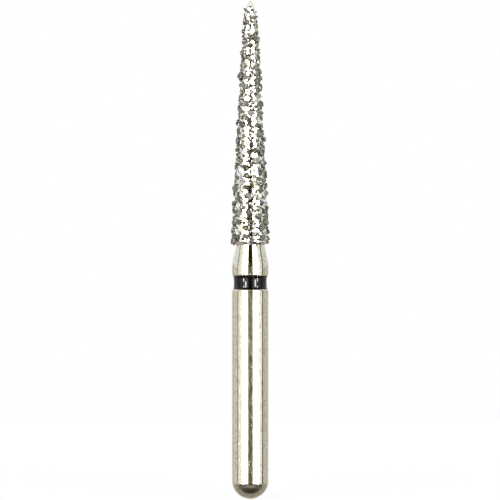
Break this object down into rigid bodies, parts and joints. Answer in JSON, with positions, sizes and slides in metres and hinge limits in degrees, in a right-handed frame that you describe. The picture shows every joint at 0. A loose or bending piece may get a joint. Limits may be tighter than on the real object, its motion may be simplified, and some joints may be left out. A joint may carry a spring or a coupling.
{
  "type": "dental bur",
  "caption": "Tapered diamond bur with a pointed nose, a short neck, a ring of black lacquer in a groove and a round-ended straight shank.",
  "frame": {"origin": "lowest point of the rounded shank end, on the axis of the bur", "axes": "+Z along the axis from the shank end to the point of the nose; X and Y across"},
  "size_m": [0.0018, 0.0018, 0.0218],
  "materials": {
    "ground_steel": "finely ground and polished",
    "bright_nickel": "bright electroplate",
    "diamond": "glossy broken crystal, grey green",
    "black_lacquer": "gloss black lacquer"
  },
  "bodies": {
    "root": {"steel_blank": "ground_steel", "nickel_coat": "bright_nickel", "diamond_grains": "diamond", "colour_ring": "black_lacquer"}
  },
  "joints": []
}
